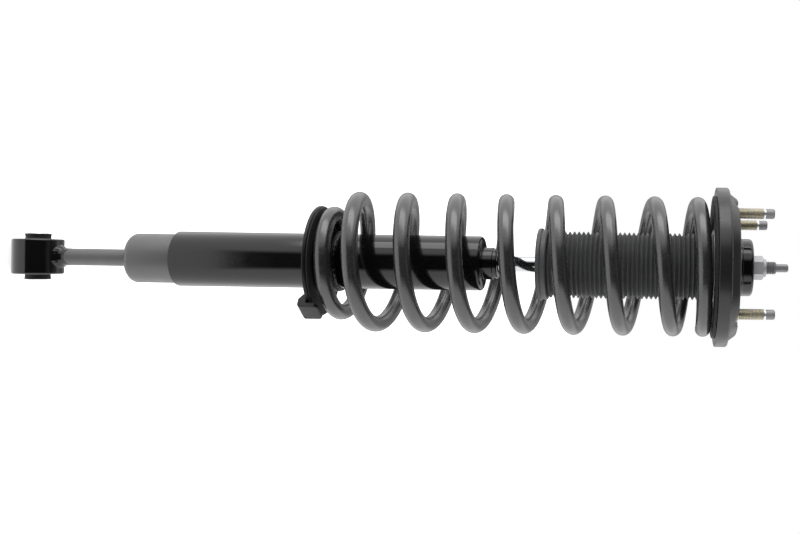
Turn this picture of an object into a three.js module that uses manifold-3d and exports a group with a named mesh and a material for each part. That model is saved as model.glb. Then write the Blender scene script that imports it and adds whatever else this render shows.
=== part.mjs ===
// Coil-over strut with a three-stud top mount, an outer coil spring and a rubber-bushed lower eye.
// Units are millimetres. The strut's axis is Z with the top mount up, and Z = 0 is the flat face
// of the mount plate that seats in the car's body. The lower eye's bore runs along X.
import * as THREE from 'three';
import { mergeVertices } from 'three/addons/utils/BufferGeometryUtils.js';
import Module from 'manifold-3d';

const wasm = await Module();
wasm.setup();

// ---- driving dimensions ----
const GAP = 0.3; // clearance left between pieces that touch
const SIDES = 36; // facets round a large turned piece
const FINE = 20; // facets round a small turned piece

const PLATE_R = 71.5; // mount plate
const PLATE_T = 3;
const PLATE_LIP_Z = -19;
const CROWN_R = 61;
const CUP_R = 26; // bush cup that stands up through the plate
const CUP_TOP = 14.4;
const CUP_WALL = 2.6;
const STUD_R = 4.9;
const STUD_HEAD_R = 6.2;
const STUD_TOP = 31.5;
const STUD_PCD_R = 53;
const STUD_ANGLES = [-42, 26, 139]; // degrees from -X towards -Y

const ROD_R = 7;
const ROD_THREAD_R = 5.9;
const ROD_SHOULDER_Z = -15.6;
const ROD_TOP = 47;
const ROD_TIP = 11; // length of the hexagonal tip that stops the rod turning
const NUT_AF = 19;
const NUT_H = 12.2;

const SEAT_Z = -16.6; // top face of the upper spring seat
const SEAT_T = 2.4;
const PAD_T = 2.4; // rubber pad above the spring

const WIRE_R = 7; // coil spring
const COIL_R = 56;
const PIGTAIL_R = 42.2;
const COIL_LOW_Z = -362.1; // height of the wire's centre at its lower end
const PITCH = 44.25;
const CLOSED_TURNS = 1.578; // turns over which the pitch grows from nothing at the lower end
const LOWER_TURNS = 1.25; // turns below the first full one
const UPPER_TURNS = 7.48; // turns above it
const COIL_LEAN = 1.9; // rise of each coil's -X side and fall of its +X side

const TUBE_R = 24.5; // reserve tube
const TUBE_BORE_R = 23;
const TUBE_TOP = -227;
const TUBE_BOTTOM = -500;
const NECK_R = 14.4;
const NECK_TOP = -213.6;
const CYL_R = 15.5; // pressure cylinder
const CYL_BORE_R = 14;
const CYL_TOP = -252.3;
const CYL_BOTTOM = -522;
const BASE_R = 22;
const BASE_BOTTOM = -542;
const STEM_R = 7.6;

const PERCH_R = 49.5; // lower spring seat
const PERCH_Z = -371; // its upper face
const PERCH_T = 2.2;
const PERCH_LIP = 3; // depth of its turned-down edge

const EYE_Z = -628;
const EYE_R = 20.5;
const EYE_BORE_R = 16.6;
const EYE_W = 31.4;
const SLEEVE_R = 8.2;
const SLEEVE_BORE_R = 6.1;
const SLEEVE_W = 42;

const BOOT_R = 30;
const BOOT_BORE_R = 27;
const BOOT_BOTTOM = -177.5;

const PISTON_TOP = -286.8;
const PISTON_H = 12;
const VALVE_Z = -516; // face of the base valve that its intake disc rests on

// ---- materials ----
function paint(color, roughness, metalness) {
  return new THREE.MeshStandardMaterial({ color, roughness, metalness });
}

const PLATE_STEEL = paint(0x6f7072, 0.45, 0.8);
const BLACK_GLOSS = paint(0x0b0b0d, 0.18, 0.2);
const GREY_PAINT = paint(0x7f8080, 0.5, 0.1);
const SPRING_COAT = paint(0x4a4b4c, 0.5, 0.2);
const RUBBER = paint(0x121212, 0.8, 0);
const BOOT_BLACK = paint(0x151515, 0.65, 0);
const CHROME = paint(0xd8dadc, 0.08, 1);
const GOLD_ZINC = paint(0xb79a4a, 0.35, 0.9);
const BRIGHT_ZINC = paint(0xc4c6c8, 0.3, 0.9);
const STEEL = paint(0x8f9092, 0.4, 0.9);
const IRON = paint(0x55565a, 0.6, 0.8);
const PTFE = paint(0x6b3f2a, 0.6, 0);
const FOAM = paint(0xcfc49a, 0.85, 0);

// ---- geometry helpers ----
// Positions only, with shared vertices joined and collapsed triangles dropped.
function weld(geometry) {
  const bare = new THREE.BufferGeometry();
  bare.setAttribute('position', geometry.getAttribute('position').clone());
  bare.setIndex(geometry.getIndex());
  const merged = mergeVertices(bare, 1e-4);
  const index = merged.getIndex().array;
  const kept = [];
  for (let i = 0; i < index.length; i += 3) {
    const [a, b, c] = index.slice(i, i + 3);
    if (a !== b && b !== c && c !== a) kept.push(a, b, c);
  }
  merged.setIndex(kept);
  return merged;
}

function toSolid(geometry) {
  const joined = weld(geometry);
  const vertProperties = new Float32Array(joined.getAttribute('position').array);
  const triVerts = new Uint32Array(joined.getIndex().array);
  return new wasm.Manifold(new wasm.Mesh({ numProp: 3, vertProperties, triVerts }));
}

function fromSolid(solid) {
  const mesh = solid.getMesh();
  const geometry = new THREE.BufferGeometry();
  geometry.setAttribute('position', new THREE.BufferAttribute(mesh.vertProperties, 3));
  geometry.setIndex(new THREE.BufferAttribute(mesh.triVerts, 1));
  return geometry;
}

function cut(body, ...tools) {
  return fromSolid(tools.reduce((solid, tool) => solid.subtract(toSolid(tool)), toSolid(body)));
}

function join(body, ...others) {
  return fromSolid(others.reduce((solid, other) => solid.add(toSolid(other)), toSolid(body)));
}

function intersect(body, other) {
  return fromSolid(toSolid(body).intersect(toSolid(other)));
}

// A body of revolution about Z. The outline is [radius, z] pairs, anticlockwise.
function turned(outline, sides = SIDES) {
  const points = outline.map(([r, z]) => new THREE.Vector2(r, z));
  points.push(points[0].clone());
  const geometry = new THREE.LatheGeometry(points, sides);
  geometry.rotateX(Math.PI / 2);
  return weld(geometry);
}

// The points of a round corner about a centre, from one angle to another in degrees.
function corner(r, z, radius, from, to, steps = 3) {
  const points = [];
  for (let i = 0; i <= steps; i += 1) {
    const a = THREE.MathUtils.degToRad(from + ((to - from) * i) / steps);
    points.push([r + radius * Math.cos(a), z + radius * Math.sin(a)]);
  }
  return points;
}

function ring(outer, inner, bottom, top, sides = SIDES) {
  return turned([[inner, bottom], [outer, bottom], [outer, top], [inner, top]], sides);
}

function disc(radius, bottom, top, sides = FINE) {
  return turned([[0, bottom], [radius, bottom], [radius, top], [0, top]], sides);
}

function hexagon(acrossFlats, bottom, top) {
  const radius = acrossFlats / 2 / Math.cos(Math.PI / 6);
  const prism = new THREE.CylinderGeometry(radius, radius, top - bottom, 6);
  prism.rotateX(Math.PI / 2);
  prism.translate(0, 0, (top + bottom) / 2);
  return prism;
}

// Copies of a cutter, evenly spread round Z at one radius.
function around(make, radius, count) {
  const copies = [];
  for (let i = 0; i < count; i += 1) {
    const a = (i * 2 * Math.PI) / count;
    const copy = make();
    copy.translate(radius * Math.cos(a), radius * Math.sin(a), 0);
    copies.push(copy);
  }
  return copies;
}

// Turns a body made about Z so that it lies along X at the lower eye.
function atEye(geometry) {
  geometry.rotateY(Math.PI / 2);
  geometry.translate(0, 0, EYE_Z);
  return geometry;
}

function studPlace(degrees) {
  const a = THREE.MathUtils.degToRad(degrees);
  return [-STUD_PCD_R * Math.cos(a), -STUD_PCD_R * Math.sin(a)];
}

const strut = new THREE.Group();

function add(name, geometry, material) {
  const mesh = new THREE.Mesh(geometry, material);
  geometry.computeVertexNormals();
  mesh.name = name;
  strut.add(mesh);
  return mesh;
}

// ---- top mount ----
// A pressed plate: a rolled outer lip, a valley, and a raised crown with the cup's hole.
function mountPlate() {
  const hole = CUP_R + GAP;
  const plate = turned([
    [hole, -PLATE_T],
    [CROWN_R - 1.4, -PLATE_T],
    [CROWN_R + 4, -11.4],
    [PLATE_R - PLATE_T - 1, -11.4],
    [PLATE_R - PLATE_T, -12.4],
    [PLATE_R - PLATE_T, PLATE_LIP_Z],
    [PLATE_R, PLATE_LIP_Z],
    ...corner(PLATE_R - 2.4, -10.8, 2.4, 0, 90),
    [CROWN_R + 6, -8.4],
    ...corner(CROWN_R - 1, -2.4, 2.4, 25, 90, 2),
    [hole, 0],
  ]);
  const holes = STUD_ANGLES.map((degrees) => {
    const [x, y] = studPlace(degrees);
    return disc(STUD_R + GAP, -20, 5).translate(x, y, 0);
  });
  return cut(plate, ...holes);
}

// A pressed-in stud: a head under the plate, the thread, and a plain pilot tip.
function mountStud() {
  const underside = -PLATE_T - GAP;
  return turned([
    [0, underside - 2.8],
    [STUD_HEAD_R, underside - 2.8],
    [STUD_HEAD_R, underside],
    [STUD_R, underside],
    [STUD_R, STUD_TOP - 9],
    [STUD_R - 0.9, STUD_TOP - 7.6],
    [STUD_R - 0.7, STUD_TOP - 7],
    [STUD_R - 0.7, STUD_TOP - 1],
    [STUD_R - 1.7, STUD_TOP],
    [0, STUD_TOP],
  ], FINE);
}

// A deep-drawn cup with a rolled top edge and a weld flange under the plate.
function mountCup() {
  const inner = CUP_R - CUP_WALL;
  return turned([
    [inner, -14],
    [CUP_R, -14],
    [CUP_R, -6.2],
    [CUP_R + 6, -6.2],
    [CUP_R + 6, -PLATE_T - GAP],
    [CUP_R, -PLATE_T - GAP],
    ...corner(CUP_R - 3.2, CUP_TOP - 3.2, 3.2, 0, 90),
    [17, CUP_TOP],
    [17, CUP_TOP - 2.4],
    ...corner(inner - 2, CUP_TOP - 4.4, 2, 90, 0, 2),
  ]);
}

function mountBushRubber() {
  return turned([
    [10.3, -12.6],
    [19, -12.6],
    [CUP_R - CUP_WALL - GAP, -9],
    [CUP_R - CUP_WALL - GAP, 9],
    [20, 11.2],
    [10.3, 11.2],
  ], FINE);
}

function addTopMount() {
  add('mount_plate', mountPlate(), PLATE_STEEL);
  STUD_ANGLES.forEach((degrees, i) => {
    const stud = add(`mount_stud_${i + 1}`, mountStud(), GOLD_ZINC);
    const [x, y] = studPlace(degrees);
    stud.position.set(x, y, 0);
  });
  add('mount_cup', mountCup(), BLACK_GLOSS);
  add('mount_bush_rubber', mountBushRubber(), RUBBER);
  add('mount_bush_sleeve', ring(10, 6.3, -12.6, 11.4, FINE), STEEL);
  add('upper_bush_washer', ring(15.5, 6.3, 11.7, CUP_TOP + 0.2, FINE), BRIGHT_ZINC);
  add('lower_bush_washer', ring(20, 6.3, ROD_SHOULDER_Z + GAP, -12.9, FINE), STEEL);
  const nutZ = CUP_TOP + 0.2 + GAP;
  const chamfers = turned([
    [0, nutZ],
    [NUT_AF / 2, nutZ],
    [NUT_AF / 2 + 1.6, nutZ + 1.2],
    [NUT_AF / 2 + 1.6, nutZ + NUT_H - 1.2],
    [NUT_AF / 2, nutZ + NUT_H],
    [0, nutZ + NUT_H],
  ]);
  const blank = intersect(hexagon(NUT_AF, nutZ, nutZ + NUT_H), chamfers);
  add('rod_nut', cut(blank, disc(ROD_THREAD_R + GAP, nutZ - 1, nutZ + NUT_H + 1)), BRIGHT_ZINC);
}

// ---- upper spring seat, bump stop and boot ----
function upperSpringSeat() {
  return turned([
    [22.5, SEAT_Z - SEAT_T],
    [PLATE_R - PLATE_T - GAP, SEAT_Z - SEAT_T],
    [PLATE_R - PLATE_T - GAP, SEAT_Z],
    [36, SEAT_Z],
    [34, -12],
    [31, -12],
    [33, SEAT_Z],
    [22.5, SEAT_Z],
  ]);
}

// A cup of pressed steel that holds the bump stop and the boot's upper end.
function bumpStopCup() {
  const top = SEAT_Z - SEAT_T - GAP;
  return turned([
    [ROD_R + 1.5, top - 2],
    [21.5, top - 2],
    [21.5, top - 14],
    [24, top - 14],
    [24, top - 2],
    [33, top - 2],
    [33, top],
    [ROD_R + 1.5, top],
  ]);
}

// A foam spring with three bulges, thinner towards the end that meets the striker cap.
function bumpStop() {
  const top = SEAT_Z - SEAT_T - GAP - 2 - GAP;
  const bore = ROD_R + 0.8;
  return turned([
    [bore, -92],
    [13, -92],
    ...corner(13, -87, 4.5, -60, 60, 3),
    ...corner(14, -75, 6, -60, 60, 3),
    ...corner(14, -57, 7, -60, 60, 3),
    [17, -44],
    [21.2, -40],
    [21.2, top],
    [bore, top],
  ], FINE);
}

function dustBoot() {
  const top = SEAT_Z - SEAT_T - GAP - 2 - GAP;
  return turned([
    [BOOT_BORE_R, BOOT_BOTTOM],
    [BOOT_R + 2.5, BOOT_BOTTOM],
    [BOOT_R + 2.5, BOOT_BOTTOM + 8],
    [BOOT_R, BOOT_BOTTOM + 10],
    [BOOT_R, top],
    [24 + GAP, top],
    [24 + GAP, top - 10],
    [BOOT_BORE_R, top - 16],
  ]);
}

function addUpperEnd() {
  add('upper_spring_seat', upperSpringSeat(), PLATE_STEEL);
  const padTop = SEAT_Z - SEAT_T - GAP;
  add('upper_spring_pad', ring(64, 46, padTop - PAD_T, padTop), RUBBER);
  add('bump_stop_cup', bumpStopCup(), STEEL);
  add('bump_stop', bumpStop(), FOAM);
  add('dust_boot', dustBoot(), BOOT_BLACK);
}

// ---- rod and piston ----
function pistonRod() {
  const stub = 4;
  const bottom = PISTON_TOP - PISTON_H - 10;
  const shaft = turned([
    [0, bottom],
    [stub, bottom],
    [stub, PISTON_TOP + 4.8],
    [ROD_R, PISTON_TOP + 4.8],
    [ROD_R, ROD_SHOULDER_Z],
    [ROD_THREAD_R, ROD_SHOULDER_Z],
    [ROD_THREAD_R, ROD_TOP - ROD_TIP - 1.4],
    [ROD_THREAD_R - 1.4, ROD_TOP - ROD_TIP],
    [0, ROD_TOP - ROD_TIP],
  ], FINE);
  return join(shaft, hexagon(7, ROD_TOP - ROD_TIP - 4, ROD_TOP));
}

// The disc that limits the intake disc's lift, with the hub that the piston is clamped against.
function supportDisc() {
  return turned([
    [4 + GAP, PISTON_TOP + GAP],
    [5.3, PISTON_TOP + GAP],
    [5.3, PISTON_TOP + 2.8],
    [10.5, PISTON_TOP + 2.8],
    [10.5, PISTON_TOP + 4.5],
    [4 + GAP, PISTON_TOP + 4.5],
  ], FINE);
}

function piston() {
  const bottom = PISTON_TOP - PISTON_H;
  const blank = turned([
    [4 + GAP, bottom],
    [13.4, bottom],
    [13.4, bottom + 3],
    [12, bottom + 3],
    [12, bottom + 9],
    [13.4, bottom + 9],
    [13.4, PISTON_TOP],
    [4 + GAP, PISTON_TOP],
  ], FINE);
  return cut(blank, ...around(() => disc(1.4, bottom - 1, PISTON_TOP + 1, 10), 8.6, 6));
}

function addRodAndPiston() {
  const bottom = PISTON_TOP - PISTON_H;
  add('piston_rod', pistonRod(), CHROME);
  add('rebound_stop_ring', ring(12, ROD_R + GAP, -268, -258.3 - GAP, FINE), RUBBER);
  add('rebound_stop_collar', ring(10.5, ROD_R + GAP, -272, -268 - GAP, FINE), STEEL);
  add('piston_support_disc', supportDisc(), STEEL);
  add('piston_intake_disc', ring(10.6, 5.7, PISTON_TOP + GAP, PISTON_TOP + 1.1, FINE), STEEL);
  add('piston', piston(), IRON);
  add('piston_band', ring(13.7, 12.3, bottom + 3.3, bottom + 8.7, FINE), PTFE);
  add('piston_shims', ring(10.4, 4 + GAP, bottom - 1.8, bottom - GAP, FINE), STEEL);
  const nutTop = bottom - 1.8 - GAP;
  const blank = hexagon(13, nutTop - 6, nutTop);
  add('piston_nut', cut(blank, disc(4 + GAP, nutTop - 7, nutTop + 1)), STEEL);
}

// ---- coil spring ----
// Height of the wire's centre at a turn count: closed at both ends, an even pitch between.
function coilHeight(turn) {
  const top = SEAT_Z - SEAT_T - GAP - PAD_T - GAP - WIRE_R - 0.2;
  const done = turn + LOWER_TURNS;
  const low = COIL_LOW_Z + PITCH * (done < CLOSED_TURNS ? (done * done) / CLOSED_TURNS / 2
    : done - CLOSED_TURNS / 2);
  const rise = top - COIL_LOW_Z;
  const closing = 2 * (LOWER_TURNS + UPPER_TURNS - CLOSED_TURNS / 2 - rise / PITCH);
  const left = UPPER_TURNS - turn;
  return left < closing ? top - (PITCH * left * left) / closing / 2 : low;
}

// Each coil leans a little, but the first and last lie flat on their pads.
function coilLean(turn, a) {
  const fade = THREE.MathUtils.smoothstep(turn, -0.75, 0.25)
    * THREE.MathUtils.smoothstep(UPPER_TURNS - turn, 0.4, 1.4);
  return -COIL_LEAN * fade * Math.cos(a);
}

class CoilCurve extends THREE.Curve {
  getPoint(t, target = new THREE.Vector3()) {
    const turn = THREE.MathUtils.lerp(-LOWER_TURNS, UPPER_TURNS, t);
    const grow = THREE.MathUtils.smoothstep(turn, -0.75, 0);
    const radius = THREE.MathUtils.lerp(PIGTAIL_R, COIL_R, grow);
    const a = Math.PI * (1 + 2 * turn);
    const height = coilHeight(turn) + coilLean(turn, a);
    return target.set(radius * Math.cos(a), radius * Math.sin(a), height);
  }
}

function coilSpring() {
  const section = new THREE.Shape();
  const sides = 8;
  for (let i = 0; i < sides; i += 1) {
    const a = (i * 2 * Math.PI) / sides;
    const [x, y] = [WIRE_R * Math.cos(a), WIRE_R * Math.sin(a)];
    if (i === 0) section.moveTo(x, y);
    else section.lineTo(x, y);
  }
  const steps = Math.round(20 * (UPPER_TURNS + LOWER_TURNS));
  const extrudePath = new CoilCurve();
  extrudePath.arcLengthDivisions = 2 * steps;
  return weld(new THREE.ExtrudeGeometry(section, { steps, extrudePath, bevelEnabled: false }));
}

// ---- damper body ----
function reserveTube() {
  return turned([
    [TUBE_BORE_R, TUBE_BOTTOM],
    [TUBE_R, TUBE_BOTTOM],
    ...corner(TUBE_R - 2.6, TUBE_TOP - 2.6, 2.6, 0, 90),
    [15, TUBE_TOP],
    [15, TUBE_TOP - 2.4],
    ...corner(TUBE_BORE_R - 1.2, TUBE_TOP - 3.6, 1.2, 90, 0, 2),
  ]);
}

function baseCup() {
  const wall = 2.6;
  const outside = 6; // radii of its lower edge
  const inside = 6.4;
  return turned([
    [0, BASE_BOTTOM],
    ...corner(BASE_R - outside, BASE_BOTTOM + outside, outside, -90, 0, 4),
    [BASE_R, TUBE_BOTTOM + 9],
    [BASE_R - wall, TUBE_BOTTOM + 9],
    ...corner(BASE_R - wall - inside, BASE_BOTTOM + wall + inside, inside, 0, -90, 4),
    [0, BASE_BOTTOM + wall],
  ]);
}

// A round bar with weld beads at both ends; the lower one is saddled to the eye ring.
function lowerStem() {
  const top = BASE_BOTTOM - GAP;
  const bar = turned([
    [0, EYE_Z],
    [12, EYE_Z],
    [12, EYE_Z + EYE_R - 3],
    [9.6, EYE_Z + EYE_R + 1.4],
    [STEM_R, EYE_Z + EYE_R + 3.4],
    [STEM_R, top - 3],
    [STEM_R + 1.8, top - 1.4],
    [STEM_R + 2, top],
    [0, top],
  ], FINE);
  return cut(bar, atEye(disc(EYE_R + GAP, -EYE_W, EYE_W, 40)));
}

function eyeRing() {
  const half = EYE_W / 2;
  return atEye(turned([
    [EYE_BORE_R, -half],
    [EYE_R - 1.2, -half],
    [EYE_R, -half + 1.2],
    [EYE_R, half - 1.2],
    [EYE_R - 1.2, half],
    [EYE_BORE_R, half],
  ]));
}

// The bonded bush, with a round-edged collar standing out of each end of the ring.
function eyeRubber() {
  const half = SLEEVE_W / 2 - 0.5;
  const bore = SLEEVE_R + GAP;
  const collar = 10.4;
  return atEye(turned([
    [bore, -half],
    ...corner(collar - 1.4, -half + 1.4, 1.4, -90, 0, 2),
    [collar, -EYE_W / 2 + 1.5],
    [EYE_BORE_R - GAP, -EYE_W / 2 + 1],
    [EYE_BORE_R - GAP, EYE_W / 2 - 1],
    [collar, EYE_W / 2 - 1.5],
    ...corner(collar - 1.4, half - 1.4, 1.4, 0, 90, 2),
    [bore, half],
  ], FINE));
}

function eyeSleeve() {
  const half = SLEEVE_W / 2;
  return atEye(ring(SLEEVE_R, SLEEVE_BORE_R, -half, half, FINE));
}

// A disc with a turned-down edge and a collar that is welded to the reserve tube.
function springPerch() {
  const bore = TUBE_R + GAP;
  const collar = bore + 2.7;
  return turned([
    [bore, PERCH_Z - PERCH_T],
    [PERCH_R - PERCH_T, PERCH_Z - PERCH_T],
    [PERCH_R - PERCH_T, PERCH_Z - PERCH_LIP],
    [PERCH_R, PERCH_Z - PERCH_LIP],
    ...corner(PERCH_R - 2, PERCH_Z - 2, 2, 0, 90, 3),
    [collar, PERCH_Z],
    [collar, PERCH_Z + 16],
    [bore, PERCH_Z + 16],
  ]);
}

// A bent lug under the disc, against which the spring's end is located.
function coilStopTab() {
  const under = PERCH_Z - PERCH_LIP - GAP;
  const width = 22;
  const bend = [
    [42, under - 2.6],
    [47, under - 6.4],
    [55, under - 6.4],
    [55, under + 11],
    [52.1, under + 11],
    [52.1, under],
    [42, under],
  ];
  const section = new THREE.Shape(bend.map(([r, z]) => new THREE.Vector2(r, z)));
  const lug = new THREE.ExtrudeGeometry(section, { depth: width, bevelEnabled: false });
  lug.translate(0, 0, -width / 2);
  lug.rotateX(Math.PI / 2);
  lug.rotateZ(THREE.MathUtils.degToRad(-35));
  return weld(lug);
}

function rodGuide() {
  const seat = CYL_TOP + GAP;
  return turned([
    [8.6, seat - 6],
    [CYL_BORE_R - GAP, seat - 6],
    [CYL_BORE_R - GAP, seat],
    [TUBE_BORE_R - GAP, seat],
    [TUBE_BORE_R - GAP, seat + 13.7],
    [8.6, seat + 13.7],
  ], FINE);
}

// The part of the damper's shell, its spring perch and its lower eye.
function addDamperShell() {
  add('reserve_tube', reserveTube(), BLACK_GLOSS);
  add('base_cup', baseCup(), GREY_PAINT);
  add('lower_stem', lowerStem(), GREY_PAINT);
  add('lower_eye_ring', eyeRing(), BLACK_GLOSS);
  add('lower_eye_rubber', eyeRubber(), RUBBER);
  add('lower_eye_sleeve', eyeSleeve(), BRIGHT_ZINC);
  add('lower_spring_perch', springPerch(), BLACK_GLOSS);
  add('coil_stop_tab', coilStopTab(), BLACK_GLOSS);
  add('lower_spring_pad', ring(48, 35, PERCH_Z + GAP, COIL_LOW_Z - WIRE_R - 0.4), RUBBER);
}

// ---- base valve ----
// A plug in the cylinder's lower end, standing on a slotted skirt with oil ports through it.
function baseValveBody() {
  const flange = CYL_BOTTOM - GAP;
  const foot = BASE_BOTTOM + 2.6 + GAP;
  const blank = turned([
    [9.5, foot],
    [12, foot],
    [12, flange - 6],
    [CYL_R, flange - 6],
    [CYL_R, flange],
    [CYL_BORE_R - GAP, flange],
    [CYL_BORE_R - GAP, VALVE_Z],
    [3.1, VALVE_Z],
    [3.1, flange - 6],
    [9.5, flange - 6],
  ], FINE);
  const slot = () => new THREE.BoxGeometry(40, 7, 9).translate(0, 0, foot + 3);
  const ports = around(() => disc(1.3, flange - 8, VALVE_Z + 1, 10), 7.6, 6);
  return cut(blank, slot(), slot().rotateZ(Math.PI / 2), ...ports);
}

// The rivet that carries the base valve's discs.
function valvePin() {
  const flange = CYL_BOTTOM - GAP;
  return turned([
    [0, flange - 10],
    [5, flange - 10],
    [5, flange - 8.2],
    [2.8, flange - 8.2],
    [2.8, VALVE_Z + 2.9],
    [6, VALVE_Z + 2.9],
    [6, VALVE_Z + 4.6],
    [0, VALVE_Z + 4.6],
  ], FINE);
}

function addDamperInside() {
  const flange = CYL_BOTTOM - GAP;
  add('pressure_cylinder', ring(CYL_R, CYL_BORE_R, CYL_BOTTOM, CYL_TOP), STEEL);
  add('rod_guide', rodGuide(), IRON);
  add('rod_guide_bush', ring(8.3, ROD_R + GAP, CYL_TOP - 4, CYL_TOP + 12, FINE), PTFE);
  add('oil_seal', ring(TUBE_BORE_R - 1.3, ROD_R + GAP, CYL_TOP + 14.3, TUBE_TOP - 2.7), RUBBER);
  const cap = turned([
    [ROD_R + 0.8, TUBE_TOP - 2.4],
    [NECK_R, TUBE_TOP - 2.4],
    ...corner(NECK_R - 2, NECK_TOP - 2, 2, 0, 90),
    [ROD_R + 0.8, NECK_TOP],
  ], FINE);
  add('striker_cap', cap, BLACK_GLOSS);
  add('base_valve_body', baseValveBody(), IRON);
  add('base_valve_pin', valvePin(), STEEL);
  add('base_intake_disc', ring(10.8, 3.2, VALVE_Z + GAP, VALVE_Z + 1.1, FINE), STEEL);
  add('base_valve_shims', ring(8.9, 3.1, flange - 7.9, flange - 6.3, FINE), STEEL);
}

addTopMount();
addUpperEnd();
addRodAndPiston();
add('coil_spring', coilSpring(), SPRING_COAT);
addDamperShell();
addDamperInside();

export default strut;
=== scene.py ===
"""Looks of the coil-over strut: one Blender piece for each part that shows, around the fixed frame.

Lengths are metres. The strut's axis is Z, its top mount is up, and the lower eye's bore runs along X.
"""
import math

import bmesh
import bpy
from mathutils import Matrix, Vector

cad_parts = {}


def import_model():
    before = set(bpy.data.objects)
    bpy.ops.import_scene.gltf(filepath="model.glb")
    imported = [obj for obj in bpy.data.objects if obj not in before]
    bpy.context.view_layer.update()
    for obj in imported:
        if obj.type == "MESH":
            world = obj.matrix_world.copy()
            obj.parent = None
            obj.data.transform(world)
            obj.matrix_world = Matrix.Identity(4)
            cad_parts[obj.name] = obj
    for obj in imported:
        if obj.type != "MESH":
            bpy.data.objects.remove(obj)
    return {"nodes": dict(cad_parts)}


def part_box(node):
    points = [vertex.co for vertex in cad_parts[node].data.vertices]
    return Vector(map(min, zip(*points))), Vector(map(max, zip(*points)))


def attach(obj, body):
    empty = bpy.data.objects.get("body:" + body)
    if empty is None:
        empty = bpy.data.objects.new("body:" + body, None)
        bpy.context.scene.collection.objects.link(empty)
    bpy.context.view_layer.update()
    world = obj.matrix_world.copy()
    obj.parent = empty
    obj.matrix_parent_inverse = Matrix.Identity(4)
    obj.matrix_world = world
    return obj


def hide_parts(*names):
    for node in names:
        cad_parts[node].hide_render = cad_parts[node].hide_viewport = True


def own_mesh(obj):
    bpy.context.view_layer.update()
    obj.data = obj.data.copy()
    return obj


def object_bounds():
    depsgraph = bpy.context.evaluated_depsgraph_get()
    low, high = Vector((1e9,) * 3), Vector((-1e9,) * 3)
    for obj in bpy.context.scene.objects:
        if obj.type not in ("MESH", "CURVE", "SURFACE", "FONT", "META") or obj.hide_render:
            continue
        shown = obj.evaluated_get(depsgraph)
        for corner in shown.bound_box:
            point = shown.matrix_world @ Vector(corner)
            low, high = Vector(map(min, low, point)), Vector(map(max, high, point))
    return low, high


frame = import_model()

CAD_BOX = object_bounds()
MM = 0.001
TURN = 2 * math.pi
NODES = frame["nodes"]


# ---------------------------------------------------------------- places, all from the frame
def low(node):
    """Height of a CAD node's lowest point."""
    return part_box(node)[0].z


def high(node):
    """Height of a CAD node's highest point."""
    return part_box(node)[1].z


def radius(node):
    """Half of a CAD node's width along X."""
    lo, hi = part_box(node)
    return (hi.x - lo.x) / 2


def centre(node):
    """Middle of a CAD node's box."""
    lo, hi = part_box(node)
    return (lo + hi) / 2


VIEW_WIDTH = 0.72  # width of the picture where it crosses the strut's axis
VIEW_MIDDLE_Z = -0.3024  # height on the strut at the middle of the picture
VIEW_MIDDLE_ABOVE = -0.0007  # how far the middle sits above the axis, as the picture is held
LENS_DISTANCE = 0.9
LENS_Z = -0.072  # height on the strut that the lens is opposite
LENS_ABOVE = 0.009  # how far the lens sits above the axis, as the picture is held
VIEW_ROLL = math.radians(0.92)
STUDIO_LEVEL = 1.6
FLOOR_GLOW = 0.8

EYE = centre("lower_eye_ring")
EYE_R = high("lower_eye_ring") - EYE.z
TUBE_R = radius("reserve_tube")
STEM_R = 7.6 * MM
PLATE_TOP = high("mount_plate")
STUDS = ["mount_stud_1", "mount_stud_2", "mount_stud_3"]


# ---------------------------------------------------------------- mesh helpers
def finish_mesh(name, verts, faces, sharp=38.0):
    """A mesh object with smooth faces and sharp edges above an angle in degrees."""
    mesh = bpy.data.meshes.new(name)
    mesh.from_pydata(verts, [], faces)
    mesh.validate()
    work = bmesh.new()
    work.from_mesh(mesh)
    bmesh.ops.remove_doubles(work, verts=work.verts, dist=1e-7)
    bmesh.ops.recalc_face_normals(work, faces=work.faces)
    work.to_mesh(mesh)
    work.free()
    mesh.shade_smooth()
    mesh.set_sharp_from_angle(angle=math.radians(sharp))
    obj = bpy.data.objects.new(name, mesh)
    bpy.context.scene.collection.objects.link(obj)
    return obj


def fillet(points, closed=True, steps=5):
    """An outline of (r, z) from corners of (r, z, rounding): each corner gets an arc of its rounding."""
    out = []
    count = len(points)
    for i, (r, z, rounding) in enumerate(points):
        here = Vector((r, z))
        ends = not closed and i in (0, count - 1)
        if rounding <= 0 or ends:
            out.append((r, z))
            continue
        before = Vector(points[i - 1][:2]) - here
        after = Vector(points[(i + 1) % count][:2]) - here
        reach = 0.49 * min(before.length, after.length)
        before.normalize()
        after.normalize()
        half = before.angle(after) / 2
        tangent = min(rounding / math.tan(half), reach)
        size = tangent * math.tan(half)
        middle = here + (before + after).normalized() * (size / math.sin(half))
        start = here + before * tangent - middle
        sweep = math.pi - 2 * half
        turn = 1 if start.x * (here + after * tangent - middle).y - start.y * (
            here + after * tangent - middle
        ).x > 0 else -1
        for k in range(steps + 1):
            a = turn * sweep * k / steps
            c, s = math.cos(a), math.sin(a)
            out.append((middle.x + start.x * c - start.y * s, middle.y + start.x * s + start.y * c))
    return out


def skin(name, rows, sides=96, closed=True, sharp=38.0, shift=None):
    """A body round Z from rows of (radius, z). Either may be a function of the angle.

    A closed body's last row joins its first. shift moves each point: it gets and returns a Vector.
    """
    verts, faces = [], []
    for r, z in rows:
        for i in range(sides):
            a = TURN * i / sides
            here = max(r(a), 0.0) if callable(r) else max(r, 0.0)
            height = z(a) if callable(z) else z
            point = Vector((here * math.cos(a), here * math.sin(a), height))
            verts.append(shift(point) if shift else point)
    spans = len(rows) if closed else len(rows) - 1
    for j in range(spans):
        first, second = j * sides, ((j + 1) % len(rows)) * sides
        for i in range(sides):
            k = (i + 1) % sides
            faces.append((first + i, first + k, second + k, second + i))
    return finish_mesh(name, verts, faces, sharp)


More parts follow.
